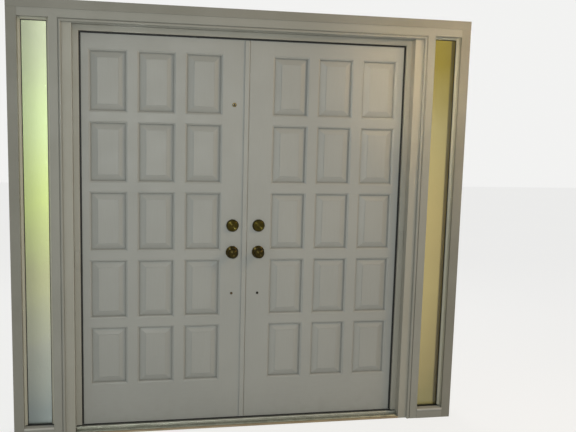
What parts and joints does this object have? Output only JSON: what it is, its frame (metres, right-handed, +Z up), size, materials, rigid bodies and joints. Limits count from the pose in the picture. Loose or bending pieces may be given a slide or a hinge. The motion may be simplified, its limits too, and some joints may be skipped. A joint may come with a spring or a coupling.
{
  "type": "french doors",
  "caption": "Outswing double entrance door in its frame, with raised panels, narrow sidelights, handlesets and a flush-bolted inactive leaf.",
  "frame": {"origin": "on the floor line midway between the hinge jambs, in the plane of the closed leaves' room-side faces", "axes": "+X across the opening to the right as seen from the room, +Y out to the street, +Z up"},
  "size_m": [2.3424, 0.1964, 2.152],
  "materials": {
    "frame_paint": "off-white semi-gloss paint on wood",
    "door_paint": "off-white semi-gloss paint on wood",
    "glass": "clear float glass",
    "black_rubber": "matt black seal",
    "threshold_metal": "white-coated aluminium extrusion",
    "oak": "satin varnished oak",
    "painted_plate": "painted over in the frame's off-white",
    "hinge_brass": "dulled brass",
    "lock_brass": "polished brass, darkened with age",
    "bolt_steel": "plated steel"
  },
  "bodies": {
    "frame": {"hinge_jamb_left": "frame_paint", "hinge_jamb_right": "frame_paint", "head_jamb": "frame_paint", "mullions": "frame_paint", "outer_jambs": "frame_paint", "sidelight_heads": "frame_paint", "sidelight_sills": "frame_paint", "sidelight_stools": "frame_paint", "sidelight_trims": "frame_paint", "glazing_stops": "frame_paint", "door_stops": "frame_paint", "door_casing_left": "frame_paint", "door_casing_right": "frame_paint", "door_casing_head": "frame_paint", "outer_casing": "frame_paint", "brickmould": "frame_paint", "mull_covers": "frame_paint", "sidelight_glass_left": "glass", "sidelight_glass_right": "glass", "glazing_gaskets": "black_rubber", "weatherstrips": "black_rubber", "threshold": "threshold_metal", "threshold_bumper": "black_rubber", "threshold_strip": "oak", "contact_plates": "painted_plate", "jamb_hinge_leaves": "hinge_brass", "hinge_pins": "hinge_brass"},
    "left_leaf": {"left_hinge_stile": "door_paint", "left_lock_stile": "door_paint", "left_rails": "door_paint", "left_muntins": "door_paint", "left_panels": "door_paint", "astragal": "door_paint", "left_hinge_leaves": "hinge_brass", "strikes": "lock_brass", "left_rose": "lock_brass", "left_knob": "lock_brass", "left_deadbolt_collars": "lock_brass", "left_handleset": "lock_brass", "left_thumbpiece": "lock_brass", "left_through_bolt": "lock_brass", "door_viewer": "lock_brass"},
    "right_leaf": {"right_hinge_stile": "door_paint", "right_lock_stile": "door_paint", "right_rails": "door_paint", "right_muntins": "door_paint", "right_panels": "door_paint", "right_hinge_leaves": "hinge_brass", "right_rose": "lock_brass", "right_deadbolt_collars": "lock_brass", "bolt_cases": "bolt_steel", "right_handleset": "lock_brass", "right_through_bolt": "lock_brass"},
    "knob": {"right_knob": "lock_brass"},
    "latch": {"latch_bolt": "lock_brass"},
    "deadbolt": {"deadbolt": "bolt_steel"},
    "key_plug": {"deadbolt_plug": "lock_brass"},
    "thumb_lever": {"right_thumbpiece": "lock_brass"},
    "upper_bolt": {"upper_flush_bolt": "lock_brass"},
    "lower_bolt": {"lower_flush_bolt": "lock_brass"}
  },
  "joints": [
    {"name": "left_leaf_swing", "type": "hinge", "parent": "frame", "child": "left_leaf", "pos_m": [-0.84805, 0.0515, 1], "axis": [0, 0, 1], "range_deg": [0, 105]},
    {"name": "right_leaf_swing", "type": "hinge", "parent": "frame", "child": "right_leaf", "pos_m": [0.84805, 0.0515, 1], "axis": [0, 0, -1], "range_deg": [0, 105]},
    {"name": "knob_turn", "type": "hinge", "parent": "right_leaf", "child": "knob", "pos_m": [0.06855, 0, 0.9271], "axis": [0, 1, 0], "range_deg": [0, 60], "stiffness_Nm_per_rad": 0.4, "springref_deg": -20.05},
    {"name": "latch_slide", "type": "slide", "parent": "right_leaf", "child": "latch", "axis": [1, 0, 0], "range_m": [0, 0.0115]},
    {"name": "deadbolt_throw", "type": "slide", "parent": "right_leaf", "child": "deadbolt", "axis": [-1, 0, 0], "range_m": [0, 0.0254]},
    {"name": "key_turn", "type": "hinge", "parent": "right_leaf", "child": "key_plug", "pos_m": [0.06855, 0, 1.0671], "axis": [0, 1, 0], "range_deg": [0, 90]},
    {"name": "thumb_press", "type": "hinge", "parent": "right_leaf", "child": "thumb_lever", "pos_m": [0.06855, 0.05, 0.9391], "axis": [-1, 0, 0], "range_deg": [0, 12], "stiffness_Nm_per_rad": 0.5, "springref_deg": -11.46},
    {"name": "upper_bolt_slide", "type": "slide", "parent": "left_leaf", "child": "upper_bolt", "axis": [0, 0, 1], "range_m": [0, 0.015]},
    {"name": "lower_bolt_slide", "type": "slide", "parent": "left_leaf", "child": "lower_bolt", "axis": [0, 0, -1], "range_m": [0, 0.012]}
  ],
  "couplings": [
    {"joint": "latch_slide", "follows": "knob_turn", "m_per_rad": 0.01098},
    {"joint": "key_turn", "follows": "deadbolt_throw", "rad_per_m": 61.84}
  ]
}
